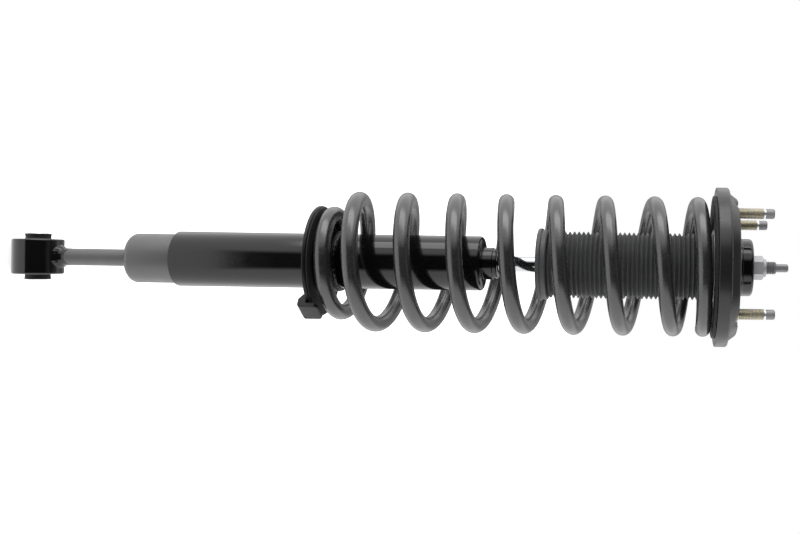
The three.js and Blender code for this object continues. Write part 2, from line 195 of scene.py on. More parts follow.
def lay_on_x(obj):
    """Turns a body made round Z so that it lies along X at the lower eye."""
    place = Matrix.Translation(EYE) @ Matrix.Rotation(math.pi / 2, 4, "Y")
    obj.data.transform(place)
    return obj


def move(obj, offset):
    obj.data.transform(Matrix.Translation(offset))
    return obj


def dress(obj, body, slot, material, *nodes):
    """Gives a piece its material and body and hides the CAD nodes that it stands for; its slot is not used.
    """
    obj.data.materials.clear()
    obj.data.materials.append(material)
    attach(obj, body)
    if nodes:
        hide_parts(*nodes)
    return obj


# ---------------------------------------------------------------- materials
class Recipe:
    """A node material round one Principled shader, in the object's own coordinates."""

    def __init__(self, name, **values):
        self.material = bpy.data.materials.new(name)
        self.material.use_nodes = True
        self.tree = self.material.node_tree
        self.shader = self.tree.nodes["Principled BSDF"]
        for socket, value in values.items():
            self.shader.inputs[socket.replace("_", " ")].default_value = value
        self.place = self.tree.nodes.new("ShaderNodeTexCoord").outputs["Object"]

    def link(self, source, target):
        self.tree.links.new(source, target)

    def stretched(self, scale):
        """The object's coordinates, scaled differently along each axis."""
        node = self.tree.nodes.new("ShaderNodeMapping")
        node.inputs["Scale"].default_value = scale
        self.link(self.place, node.inputs["Vector"])
        return node.outputs["Vector"]

    def noise(self, scale, detail=4.0, roughness=0.55, vector=None):
        node = self.tree.nodes.new("ShaderNodeTexNoise")
        node.inputs["Scale"].default_value = scale
        node.inputs["Detail"].default_value = detail
        node.inputs["Roughness"].default_value = roughness
        self.link(vector or self.place, node.inputs["Vector"])
        return node.outputs["Fac"]

    def cells(self, scale, randomness=1.0):
        node = self.tree.nodes.new("ShaderNodeTexVoronoi")
        node.inputs["Scale"].default_value = scale
        node.inputs["Randomness"].default_value = randomness
        self.link(self.place, node.inputs["Vector"])
        return node.outputs["Distance"]

    def span(self, value, low_in, high_in, low_out=0.0, high_out=1.0):
        node = self.tree.nodes.new("ShaderNodeMapRange")
        node.inputs["From Min"].default_value = low_in
        node.inputs["From Max"].default_value = high_in
        node.inputs["To Min"].default_value = low_out
        node.inputs["To Max"].default_value = high_out
        self.link(value, node.inputs["Value"])
        return node.outputs["Result"]

    def sum_node(self, operation, a, b):
        node = self.tree.nodes.new("ShaderNodeMath")
        node.operation = operation
        self.link(a, node.inputs[0])
        if isinstance(b, float):
            node.inputs[1].default_value = b
        else:
            self.link(b, node.inputs[1])
        return node.outputs[0]

    def times(self, a, b):
        return self.sum_node("MULTIPLY", a, b)

    def plus(self, a, b):
        return self.sum_node("ADD", a, b)

    def blend(self, amount, first, second):
        """A colour between two, each a tuple or a socket."""
        node = self.tree.nodes.new("ShaderNodeMix")
        node.data_type = "RGBA"
        self.link(amount, node.inputs["Factor"])
        for socket, colour in ((node.inputs[6], first), (node.inputs[7], second)):
            if isinstance(colour, tuple):
                socket.default_value = (*colour, 1.0)
            else:
                self.link(colour, socket)
        return node.outputs[2]

    def colour(self, socket):
        self.link(socket, self.shader.inputs["Base Color"])

    def rough(self, socket):
        self.link(socket, self.shader.inputs["Roughness"])

    def bump(self, height, strength, distance):
        node = self.tree.nodes.new("ShaderNodeBump")
        node.inputs["Strength"].default_value = strength
        node.inputs["Distance"].default_value = distance
        self.link(height, node.inputs["Height"])
        self.link(node.outputs["Normal"], self.shader.inputs["Normal"])

    def dust(self, colour, shade, amount=0.12):
        """Fine pale specks of dust over a colour."""
        specks = self.span(self.noise(2600.0, 2.0, 0.5), 0.66, 0.74)
        patches = self.span(self.noise(26.0, 3.0), 0.42, 0.7)
        return self.blend(self.times(self.times(specks, patches), amount), colour, shade)


def gloss_black():
    """Wet-sprayed gloss paint with a slight orange peel."""
    r = Recipe("gloss_black_paint", Specular_IOR_Level=0.44)
    tone = r.blend(r.noise(14.0), (0.002, 0.002, 0.002), (0.004, 0.004, 0.004))
    r.colour(r.dust(tone, (0.06, 0.06, 0.057), 0.10))
    r.rough(r.span(r.noise(38.0, 5.0), 0.3, 0.7, 0.07, 0.14))
    r.bump(r.noise(420.0, 2.0, 0.45), 0.05, 0.3 * MM)
    return r.material


def satin_black():
    """Thin black paint over the perch's pressed sheet, duller than the tube's."""
    r = Recipe("satin_black_paint", Specular_IOR_Level=0.25)
    tone = r.blend(r.noise(30.0, 5.0), (0.004, 0.004, 0.004), (0.009, 0.009, 0.009))
    r.colour(r.dust(tone, (0.09, 0.09, 0.085), 0.12))
    r.rough(r.span(r.noise(70.0, 5.0), 0.3, 0.7, 0.30, 0.44))
    r.bump(r.noise(620.0, 3.0, 0.5), 0.08, 0.3 * MM)
    return r.material


def grey_paint():
    """Satin machine grey over a cast and turned base."""
    r = Recipe("grey_satin_paint", Specular_IOR_Level=0.95)
    tone = r.blend(r.noise(22.0, 6.0), (0.037, 0.038, 0.038), (0.058, 0.059, 0.058))
    r.colour(r.dust(tone, (0.34, 0.34, 0.33), 0.22))
    r.rough(r.span(r.noise(60.0, 5.0), 0.3, 0.7, 0.34, 0.46))
    height = r.plus(r.noise(520.0, 3.0, 0.6), r.times(r.noise(90.0, 3.0), 0.6))
    r.bump(height, 0.10, 0.35 * MM)
    return r.material


def spring_coat():
    """Charcoal gloss powder coat: a fine pebbled skin over slightly wavy wire."""
    r = Recipe("spring_powder_coat", Specular_IOR_Level=0.85)
    tone = r.blend(r.noise(30.0, 6.0), (0.010, 0.010, 0.011), (0.024, 0.024, 0.025))
    r.colour(r.dust(tone, (0.14, 0.14, 0.137), 0.2))
    r.rough(r.span(r.noise(120.0, 5.0), 0.3, 0.7, 0.21, 0.31))
    height = r.plus(r.noise(1500.0, 2.0, 0.5), r.times(r.noise(160.0, 2.0), 1.5))
    r.bump(height, 0.10, 0.22 * MM)
    return r.material


def plate_coat():
    """Semi-gloss electrocoat on drawn steel, with faint draw lines and lighter warm blotches scattered at
    random.
    """
    r = Recipe("plate_electrocoat", Specular_IOR_Level=0.45)
    tone = r.blend(r.noise(24.0, 6.0), (0.007, 0.007, 0.008), (0.014, 0.014, 0.015))
    # lighter warm blotches scattered at random over the coat
    pale_blotches = r.span(r.noise(210.0, 6.0, 0.7), 0.62, 0.72)
    tone = r.blend(r.times(pale_blotches, 0.35), tone, (0.10, 0.09, 0.085))
    r.colour(r.dust(tone, (0.18, 0.18, 0.17), 0.18))
    r.rough(r.span(r.noise(70.0, 6.0), 0.3, 0.7, 0.22, 0.36))
    r.bump(r.noise(700.0, 3.0, 0.6), 0.08, 0.25 * MM)
    return r.material


def rubber():
    """Matt moulded rubber with a bloom and a fine grain."""
    r = Recipe("moulded_rubber", Specular_IOR_Level=0.35)
    tone = r.blend(r.noise(45.0, 6.0, 0.6), (0.007, 0.007, 0.007), (0.018, 0.018, 0.017))
    r.colour(r.dust(tone, (0.11, 0.11, 0.10), 0.20))
    r.rough(r.span(r.noise(90.0, 5.0), 0.3, 0.7, 0.52, 0.72))
    r.bump(r.noise(1900.0, 3.0, 0.6), 0.16, 0.2 * MM)
    return r.material


def boot_skin():
    """Satin blow-moulded elastomer, slightly green-black, with streaks along the mould's draw."""
    r = Recipe("boot_elastomer", Specular_IOR_Level=0.42)
    streaks = r.noise(60.0, 4.0, 0.6, r.stretched((1.0, 1.0, 0.12)))
    tone = r.blend(streaks, (0.044, 0.047, 0.045), (0.076, 0.079, 0.077))
    r.colour(r.dust(tone, (0.12, 0.12, 0.115), 0.18))
    r.rough(r.span(r.noise(80.0, 5.0), 0.3, 0.7, 0.36, 0.54))
    r.bump(r.noise(1300.0, 3.0, 0.55), 0.10, 0.2 * MM)
    return r.material


def chrome():
    """Ground and polished hard chrome: fine rings left by centreless grinding."""
    r = Recipe("hard_chrome", Metallic=1.0, Base_Color=(0.46, 0.47, 0.49, 1.0))
    rings = r.noise(900.0, 3.0, 0.6, r.stretched((0.03, 0.03, 1.0)))
    r.rough(r.span(rings, 0.3, 0.7, 0.05, 0.13))
    r.bump(rings, 0.03, 0.05 * MM)
    return r.material


def zinc(name, dark, light, warm, roughness, metal=1.0):
    """Plated and passivated steel: crystal mottling with a tint that drifts."""
    r = Recipe(name, Metallic=metal)
    tone = r.blend(r.noise(420.0, 5.0, 0.55), dark, light)
    drift = r.span(r.noise(55.0, 3.0), 0.45, 0.7)
    r.colour(r.blend(r.times(drift, 0.5), tone, warm))
    r.rough(r.span(r.noise(420.0, 5.0, 0.6), 0.3, 0.7, roughness, roughness + 0.16))
    r.bump(r.noise(1600.0, 4.0, 0.6), 0.10, 0.08 * MM)
    return r.material


def bare_steel(name, shade, roughness, metal=1.0):
    """Turned, oiled steel with fine circular tool marks."""
    r = Recipe(name, Metallic=metal)
    marks = r.noise(1100.0, 4.0, 0.6, r.stretched((0.05, 0.05, 1.0)))
    low_tone = tuple(0.75 * c for c in shade)
    tone = r.blend(r.plus(r.times(marks, 0.6), r.times(r.noise(70.0), 0.4)), low_tone, shade)
    r.colour(tone)
    r.rough(r.span(marks, 0.3, 0.7, roughness, roughness + 0.18))
    r.bump(marks, 0.10, 0.08 * MM)
    return r.material


def sintered_iron():
    """Pressed powder metal: dark, porous and dull, with painted shade in the pores."""
    r = Recipe("sintered_iron", Metallic=0.7)
    pores_and_painted_shade = r.span(r.noise(2200.0, 3.0, 0.7), 0.36, 0.5)
    # painted shade: the colour is darker in the pores, where the bump sinks the surface
    r.colour(r.blend(pores_and_painted_shade, (0.03, 0.03, 0.032), (0.17, 0.17, 0.18)))
    r.rough(r.span(pores_and_painted_shade, 0.0, 1.0, 0.75, 0.5))
    r.bump(pores_and_painted_shade, 0.3, 0.06 * MM)
    return r.material


def bearing_plastic():
    """Brown filled bearing plastic with short darker fibres."""
    r = Recipe("bearing_plastic", Specular_IOR_Level=0.4)
    fibres = r.noise(900.0, 4.0, 0.7, r.stretched((1.0, 1.0, 0.3)))
    r.colour(r.blend(r.span(fibres, 0.4, 0.62), (0.24, 0.10, 0.045), (0.11, 0.045, 0.02)))
    r.rough(r.span(r.noise(300.0), 0.3, 0.7, 0.45, 0.6))
    r.bump(fibres, 0.08, 0.05 * MM)
    return r.material


def stop_foam():
    """Cream microcellular foam: a tight skin with open pits, with painted shade in the pits."""
    r = Recipe("bump_stop_foam", Specular_IOR_Level=0.3, Subsurface_Weight=0.08)
    pits_and_painted_shade = r.span(r.cells(1500.0), 0.0, 0.34)
    shade = r.blend(r.noise(60.0, 5.0), (0.46, 0.39, 0.20), (0.60, 0.53, 0.31))
    # painted shade: the colour is darker in each pit, where the bump sinks the skin
    r.colour(r.blend(pits_and_painted_shade, (0.30, 0.25, 0.13), shade))
    r.rough(r.span(r.noise(200.0), 0.3, 0.7, 0.72, 0.9))
    r.bump(pits_and_painted_shade, 0.35, 0.25 * MM)
    return r.material


GLOSS = gloss_black()
SATIN = satin_black()
GREY = grey_paint()
SPRING = spring_coat()
PLATE = plate_coat()
RUBBER = rubber()
BOOT = boot_skin()
CHROME = chrome()
GOLD = zinc("yellow_zinc", (0.44, 0.415, 0.33), (0.50, 0.475, 0.40), (0.50, 0.46, 0.36), 0.30, 0.85)
ZINC = zinc("bright_zinc", (0.60, 0.61, 0.63), (0.74, 0.75, 0.76), (0.70, 0.69, 0.71), 0.30)
NUT_ZINC = zinc("dull_zinc", (0.36, 0.36, 0.37), (0.46, 0.46, 0.47), (0.42, 0.41, 0.42), 0.46, 0.5)
STEEL = bare_steel("turned_steel", (0.40, 0.40, 0.41), 0.28)
TIP_STEEL = bare_steel("rod_end_steel", (0.25, 0.25, 0.26), 0.46, 0.55)
IRON = sintered_iron()
BEARING = bearing_plastic()
FOAM = stop_foam()


# ---------------------------------------------------------------- lower eye
def eye_ring():
    half = radius("lower_eye_ring")
    bore = EYE_R - 3.9 * MM
    rows = fillet([
        (bore, -half, 0.8 * MM),
        (EYE_R, -half, 1.6 * MM),
        (EYE_R, half, 1.6 * MM),
        (bore, half, 0.8 * MM),
    ])
    ring = lay_on_x(skin("eye_ring", rows, 144))
    dress(ring, "damper_body", "black_gloss", GLOSS, "lower_eye_ring")


def eye_rubber():
    half = radius("lower_eye_rubber")
    ring_half = radius("lower_eye_ring")
    bore = high("lower_eye_sleeve") - EYE.z + 0.05 * MM
    bond = EYE_R - 4.2 * MM
    collar = 10.4 * MM
    end = [
        (bore, half - 0.6 * MM, 0.5 * MM),
        (bore + 1.2 * MM, half, 0.5 * MM),
        (collar, half, 1.6 * MM),
        (collar - 0.5 * MM, ring_half + 0.8 * MM, 1.2 * MM),
        (collar + 1.6 * MM, ring_half - 1.6 * MM, 1.6 * MM),
        (bond, ring_half - 0.7 * MM, 0.8 * MM),
    ]
    other = [(r, -z, rounding) for r, z, rounding in reversed(end)]
    bush = lay_on_x(skin("eye_rubber_bush", fillet(end + other), 128))
    dress(bush, "damper_body", "rubber", RUBBER, "lower_eye_rubber")


def eye_sleeve():
    """A plated tube whose end faces carry fine radial teeth that bite into the clevis."""
    half = radius("lower_eye_sleeve")
    outer = high("lower_eye_sleeve") - EYE.z
    bore = outer - 2.1 * MM
    teeth = 36

    def serrated(sign):
        return lambda a: sign * (half - 0.22 * MM * (0.5 + 0.5 * math.cos(teeth * a)))

    rows = [(bore, -half + 0.9 * MM), (bore + 0.5 * MM, serrated(-1)), (outer - 0.5 * MM, serrated(-1))]
    rows += [(outer, -half + 0.9 * MM), (outer, half - 0.9 * MM)]
    rows += [(outer - 0.5 * MM, serrated(1)), (bore + 0.5 * MM, serrated(1)), (bore, half - 0.9 * MM)]
    sleeve = lay_on_x(skin("eye_sleeve", rows, 288, sharp=25.0))
    dress(sleeve, "eye_sleeve", "bright_zinc", ZINC, "lower_eye_sleeve")


def weld_ripple(a, waves, depth):
    """The overlapping crescents of a hand-laid weld, as a small change of size round the bead."""
    wave = (a * waves / TURN) % 1.0
    return depth * (wave ** 0.6 - 0.5) + 0.35 * depth * math.sin(5 * a + 1.3)


def saddle(r, sink=0.1 * MM):
    """Height of the eye ring's outside under a circle of radius r round the stem, at each angle."""
    return lambda a: EYE.z + math.sqrt((EYE_R - sink) ** 2 - (r * math.sin(a)) ** 2)


def eye_weld():
    """The rippled bead that joins the stem to the eye ring, painted with the ring."""
    bar = STEM_R + 0.05 * MM
    foot, rise, levels = 10.6 * MM, 9.5 * MM, 14
    rows = [(bar, saddle(bar)), (foot - 2.0 * MM, saddle(foot - 2.0 * MM))]
    for i in range(levels + 1):
        t = i / levels
        base = bar + 0.05 * MM + (foot - bar) * (1 - t) ** 3.2
        swell = math.sin(math.pi * min(1.0, t * 2.4)) if t < 0.41 else 0.0
        grown = lambda a, base=base, swell=swell: base + swell * (0.5 * MM + weld_ripple(a, 16, 0.5 * MM))
        lift = lambda a, t=t: saddle(foot)(a) + rise * t
        rows.append((grown, lift))
    bead = skin("eye_weld_bead", rows, 96, sharp=60.0)
    dress(bead, "damper_body", "black_gloss", GLOSS)


def stem():
    """A round bar that stands on the eye ring, with a rippled weld under the base cup."""
    bar = STEM_R
    top = high("lower_stem")
    rows = [(0.0, EYE.z + EYE_R - 0.1 * MM), (0.5 * bar, saddle(0.5 * bar)), (bar, saddle(bar))]
    rows += [(bar, EYE.z + EYE_R + 3 * MM), (bar, top - 4.6 * MM)]
    for i in range(9):
        t = i / 8
        bulge = 2.0 * MM * math.sin(math.pi * t / 2) ** 0.7
        beaded = lambda a, bulge=bulge: bar + bulge * (1 + weld_ripple(a, 14, 0.22))
        rows.append((beaded, top - 4.2 * MM * (1 - t) ** 1.2))
    rows.append((0.0, top))
    obj = skin("lower_stem_bar", rows, 96, closed=False, sharp=60.0)
    dress(obj, "damper_body", "grey_paint", GREY, "lower_stem")


# ---------------------------------------------------------------- damper body
def base_cup():
    outer, bottom, top = radius("base_cup"), low("base_cup"), high("base_cup")
    wall = 2.6 * MM
    rows = fillet([
        (0.0, bottom + 0.5 * MM, 0.0),
        (outer * 0.42, bottom + 0.5 * MM, 0.4 * MM),
        (outer * 0.45, bottom, 0.4 * MM),
        (outer, bottom, 5.4 * MM),
        (outer, top, 0.5 * MM),
        (outer - wall, top, 0.5 * MM),
        (outer - wall, bottom + wall, 5.5 * MM),
        (0.0, bottom + wall, 0.0),
    ], closed=False, steps=8)
    dress(skin("damper_base_cup", rows, 128, closed=False), "damper_body", "grey_paint", GREY, "base_cup")


def reserve_tube():
    bottom, top = low("reserve_tube"), high("reserve_tube")
    bore = TUBE_R - 1.5 * MM
    mouth = radius("striker_cap") + 0.5 * MM
    rows = fillet([
        (bore, bottom, 0.3 * MM),
        (TUBE_R, bottom, 0.5 * MM),
        (TUBE_R, top, 3.0 * MM),
        (mouth, top, 0.8 * MM),
        (mouth, top - 1.6 * MM, 0.3 * MM),
        (bore, top - 1.8 * MM, 1.4 * MM),
    ], steps=7)
    dress(skin("reserve_tube_shell", rows, 160), "damper_body", "black_gloss", GLOSS, "reserve_tube")


def striker():
    outer, bottom, top = radius("striker_cap"), low("striker_cap"), high("striker_cap")
    bore = radius("piston_rod") + 0.5 * MM
    rows = fillet([
        (bore, bottom, 0.0),
        (outer, bottom, 0.0),
        (outer, top - 4.4 * MM, 0.6 * MM),
        (outer - 0.7 * MM, top - 3.8 * MM, 0.4 * MM),
        (outer - 0.7 * MM, top, 1.6 * MM),
        (bore + 2.4 * MM, top, 0.8 * MM),
        (bore, top - 2.2 * MM, 0.4 * MM),
    ])
    dress(skin("striker_cap_top", rows, 96), "damper_body", "black_gloss", GLOSS, "striker_cap")


def perch():
    """The spring's disc: sheet with a turned-down edge and a collar welded to the tube."""
    outer, bottom, top = radius("lower_spring_perch"), low("lower_spring_perch"), high("lower_spring_perch")
    sheet = 2.2 * MM
    face = bottom + 3.0 * MM
    bore = TUBE_R + 0.1 * MM
    rows = fillet([
        (bore, face - sheet, 0.6 * MM),
        (outer - sheet, face - sheet, 0.4 * MM),
        (outer - sheet, bottom, 0.3 * MM),
        (outer, bottom, 0.6 * MM),
        (outer, face, 1.8 * MM),
        (bore + 2.6 * MM, face, 2.2 * MM),
        (bore + 2.6 * MM, top, 1.1 * MM),
        (bore, top, 0.3 * MM),
    ])
    dress(skin("spring_perch_dish", rows, 160), "damper_body", "black_gloss", SATIN, "lower_spring_perch")
    for name, height, rise in (("perch_weld_top", top, 1.0), ("perch_weld_under", face - sheet, -1.0)):
        bead_rows = []
        for i in range(12):
            t = math.pi * i / 11 - math.pi / 2
            size = lambda a, t=t: 1.7 * MM * (1 + weld_ripple(a, 30, 0.25))
            bead_rows.append((
                lambda a, t=t, size=size: TUBE_R - 0.2 * MM + size(a) * math.cos(t) * 1.3,
                lambda a, t=t, size=size: height + rise * 0.2 * MM + size(a) * math.sin(t),
            ))
        bead_rows += [(TUBE_R - 0.6 * MM, height + 1.2 * MM), (TUBE_R - 0.6 * MM, height - 1.2 * MM)]
        bead = skin(name, bead_rows, 180, sharp=70.0)
        dress(bead, "damper_body", "black_gloss", GLOSS)


def bent_lug():
    """The stop for the wire's end: a strip bent out from under the disc and up past its edge."""
    lo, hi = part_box("coil_stop_tab")
    angle = math.atan2((lo.y + hi.y) / 2, (lo.x + hi.x) / 2)
    depth = 3.0 * MM
    inner, outer = 42.0 * MM, 55.0 * MM
    width = 22.0 * MM
    seat = low("lower_spring_perch") - 0.3 * MM
    profile = fillet([
        (inner, seat - 2.6 * MM, 0.6 * MM),
        (inner + 5.0 * MM, lo.z, 1.6 * MM),
        (outer, lo.z, 2.6 * MM),
        (outer, hi.z, 1.0 * MM),
        (outer - depth, hi.z, 1.0 * MM),
        (outer - depth, seat, 1.4 * MM),
        (inner, seat, 0.4 * MM),
    ])
    slices = 24
    verts, faces = [], []
    edge = 0.5 * MM
    for j in range(slices + 1):
        across = -width / 2 + width * j / slices
        near_end = min(j, slices - j) == 0
        for r, z in profile:
            ease = edge if near_end else 0.0
            mid_r, mid_z = (inner + outer) / 2, (lo.z + hi.z) / 2
            r2 = r + (math.copysign(ease, mid_r - r) if near_end else 0.0)
            z2 = z + (math.copysign(ease, mid_z - z) * 0.6 if near_end else 0.0)
            corner_cut = 0.0
            if z > hi.z - 3 * MM:
                corner_cut = max(0.0, abs(across) - width / 2 + 3 * MM)
            verts.append((r2, across, z2 - 0.7 * corner_cut))
    ring = len(profile)
    for j in range(slices):
        for i in range(ring):
            k = (i + 1) % ring
            faces.append((j * ring + i, j * ring + k, (j + 1) * ring + k, (j + 1) * ring + i))
    faces.append(tuple(range(ring)))
    faces.append(tuple(slices * ring + i for i in reversed(range(ring))))
    lug = finish_mesh("coil_stop_lug", verts, faces)
    lug.data.transform(Matrix.Rotation(angle, 4, "Z"))
    dress(lug, "damper_body", "black_gloss", SATIN, "coil_stop_tab")


def pad(name, node, body, ribs):
    """A rubber spring pad with shallow rings moulded into the face that the wire presses."""
    outer, bottom, top = radius(node), low(node), high(node)
    inner = outer - (outer - TUBE_R) * (0.52 if ribs > 0 else 0.44)
    count = 5
    face = []
    for i in range(count * 6 + 1):
        t = i / (count * 6)
        r = inner + 1.0 * MM + (outer - inner - 2.0 * MM) * t
        face.append((r, 0.25 * MM * (1 - math.cos(TURN * count * t)) / 2))
    if ribs > 0:
        rows = [(inner, bottom), (outer, bottom), (outer, top - 0.4 * MM)]
        rows += [(r, top - dip) for r, dip in reversed(face)]
        rows += [(inner, top - 0.4 * MM)]
    else:
        rows = [(inner, bottom + 0.4 * MM)]
        rows += [(r, bottom + dip) for r, dip in face]
        rows += [(outer, bottom + 0.4 * MM), (outer, top), (inner, top)]
    dress(skin(name, rows, 128), body, "rubber", RUBBER, node)


# ---------------------------------------------------------------- coil spring
def spring_wire():
    """The spring's centre line as a chain of edges; a node modifier sweeps the round wire along it.

    A squash that moves only the centre line leaves the wire round when the spring is pressed.
    """
    wire = 7.0 * MM
    coil = radius("coil_spring") - wire
    tail = coil * 0.7536
    bottom = low("coil_spring") + wire
    top = high("coil_spring") - wire
    lower_turns, upper_turns, closed_turns = 1.25, 7.48, 1.578
    pitch, lean = 44.25 * MM, 1.9 * MM
    closing = 2 * (lower_turns + upper_turns - closed_turns / 2 - (top - bottom) / pitch)

    def ease(t):
        t = min(1.0, max(0.0, t))
        return t * t * (3 - 2 * t)

    def height(turn):
        done, left = turn + lower_turns, upper_turns - turn
        if left < closing:
            return top - pitch * left * left / closing / 2
        if done < closed_turns:
            return bottom + pitch * done * done / closed_turns / 2
        return bottom + pitch * (done - closed_turns / 2)

    def point(turn):
        r = tail + (coil - tail) * ease((turn + 0.75) / 0.75)
        a = math.pi * (1 + 2 * turn)
        fade = ease(turn + 0.75) * ease(upper_turns - turn - 0.4)
        return Vector((r * math.cos(a), r * math.sin(a), height(turn) - lean * fade * math.cos(a)))

    span = upper_turns + lower_turns
    steps = int(span * 72)
    points = [point(-lower_turns + span * i / steps) for i in range(steps + 1)]
    scales = [1.0] * len(points)
    for end, inside in ((0, 1), (-1, -2)):
        out = (points[end] - points[inside]).normalized()
        tip = points[end].copy()
        points[end] = tip - out * 0.9 * MM
        extra = [(tip - out * 0.25 * MM, 0.985), (tip, 0.90), (tip + out * 0.01 * MM, 0.86)]
        extra.append((tip + out * 0.02 * MM, 0.0))
        for place, scale in extra:
            if end == 0:
                points.insert(0, place)
                scales.insert(0, scale)
            else:
                points.append(place)
                scales.append(scale)
    mesh = bpy.data.meshes.new("coil_spring_wire")
    mesh.from_pydata(points, [(i, i + 1) for i in range(len(points) - 1)], [])
    attribute = mesh.attributes.new("wire_scale", "FLOAT", "POINT")
    attribute.data.foreach_set("value", scales)
    obj = bpy.data.objects.new("coil_spring_wire", mesh)
    bpy.context.scene.collection.objects.link(obj)
    obj.data.materials.append(SPRING)
    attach(obj, "top_mount")
    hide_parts("coil_spring")
    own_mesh(obj)
    sweep_modifier(obj, wire)


def sweep_modifier(obj, wire):
    """Geometry nodes that sweep a circle of the wire's radius along an object's edges."""
    tree = bpy.data.node_groups.new("wire_sweep", "GeometryNodeTree")
    tree.interface.new_socket("Geometry", in_out="INPUT", socket_type="NodeSocketGeometry")
    tree.interface.new_socket("Geometry", in_out="OUTPUT", socket_type="NodeSocketGeometry")
    make = tree.nodes.new
    start, end = make("NodeGroupInput"), make("NodeGroupOutput")
    curve = make("GeometryNodeMeshToCurve")
    circle = make("GeometryNodeCurvePrimitiveCircle")
    circle.inputs["Resolution"].default_value = 32
    circle.inputs["Radius"].default_value = wire
    named = make("GeometryNodeInputNamedAttribute")
    named.data_type = "FLOAT"
    named.inputs["Name"].default_value = "wire_scale"
    sweep = make("GeometryNodeCurveToMesh")
    smooth = make("GeometryNodeSetShadeSmooth")
    paint = make("GeometryNodeSetMaterial")
    paint.inputs["Material"].default_value = SPRING
    link = tree.links.new
    link(start.outputs[0], curve.inputs["Mesh"])
    link(curve.outputs[0], sweep.inputs["Curve"])
    link(named.outputs["Attribute"], sweep.inputs["Scale"])
    link(circle.outputs[0], sweep.inputs["Profile Curve"])
    link(sweep.outputs[0], smooth.inputs[0])
    link(smooth.outputs[0], paint.inputs[0])
    link(paint.outputs[0], end.inputs[0])
    modifier = obj.modifiers.new("wire_sweep", "NODES")
    modifier.node_group = tree


# ---------------------------------------------------------------- boot, bump stop and rod
def boot():
    """Blow-moulded bellows: fine even pleats, a plain neck on the cup and a thick lower lip."""
    lip_r, bottom, top = radius("dust_boot"), low("dust_boot"), high("dust_boot")
    crest = lip_r - 2.5 * MM
    depth = 2.7 * MM
    wall = 1.1 * MM
    pleats = 34
    lip_top = bottom + 9.5 * MM
    neck = top - 7.0 * MM
    per = 8
    outside = fillet([
        (lip_r - 3.4 * MM, bottom, 0.8 * MM),
        (lip_r, bottom + 0.2 * MM, 1.4 * MM),
        (lip_r, bottom + 3.6 * MM, 0.8 * MM),
        (lip_r - 1.2 * MM, bottom + 4.4 * MM, 0.6 * MM),
        (lip_r - 0.8 * MM, lip_top - 0.6 * MM, 1.2 * MM),
        (crest - depth, lip_top, 0.4 * MM),
    ], closed=False)
    for i in range(1, pleats * per):
        t = i / (pleats * per)
        wave = 1 - abs(2 * ((t * pleats) % 1.0) - 1)
        out = wave * wave * (3 - 2 * wave)
        outside.append((crest - depth + depth * out, lip_top + (neck - lip_top) * t))
    outside += [(crest - depth, neck), (crest - 0.6 * MM, neck + 1.0 * MM), (crest - 0.6 * MM, top)]
    inside = [(max(r - wall, crest - depth - wall), z) for r, z in reversed(outside)]
    inside = [(r if z < neck else crest - 4.6 * MM, z) for r, z in inside]
    bellows = skin("dust_boot_bellows", outside + inside, 112, sharp=75.0)
    dress(bellows, "top_mount", "boot_plastic", BOOT, "dust_boot")


def bump_stop():
    outer, bottom, top = radius("bump_stop"), low("bump_stop"), high("bump_stop")
    bore = radius("piston_rod") + 0.6 * MM
    rows = []
    steps = 90
    for i in range(steps + 1):
        t = i / steps
        z = bottom + (top - bottom) * t
        bulge = abs(math.sin(math.pi * 3 * t ** 0.9)) ** 0.6
        waist = bore + 3.6 * MM + 2.0 * MM * t
        full = bore + 6.6 * MM + (outer - bore - 6.6 * MM) * min(1.0, t * 1.25)
        rows.append((waist + (full - waist) * (bulge if t < 0.86 else max(bulge, 0.9)), z))
    rows += [(bore, top), (bore, bottom)]
    foam = skin("bump_stop_foam", rows, 80, sharp=60.0)
    dress(foam, "top_mount", "foam", FOAM, "bump_stop")
    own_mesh(foam)


def thread_rows(major, depth, pitch, bottom, top, fade_in, chamfer):
    """Rows of a helical screw thread on a shaft, fading in from the shank and chamfered on top."""
    rows = []
    per_turn = 8
    count = int((top - bottom) / pitch * per_turn)
    for i in range(count + 1):
        z = bottom + (top - bottom) * i / count
        rise = min(1.0, (z - bottom) / fade_in)
        limit = major - max(0.0, z - (top - chamfer))

        def surface(a, z=z, rise=rise, limit=limit):
            tooth = abs(2 * ((z / pitch - a / TURN) % 1.0) - 1)
            tooth = min(1.0, max(0.0, (tooth - 0.06) / 0.82))
            return min(limit, major - depth * rise * (1 - tooth))

        rows.append((surface, z))
    return rows


def hexagon_radius(across_flats):
    """The distance from a hexagon's centre to its side at each angle, with slightly eased corners."""
    def at(a):
        return min(across_flats / 2 / math.cos((a % (TURN / 6)) - TURN / 12), across_flats / 2 * 1.145)
    return at


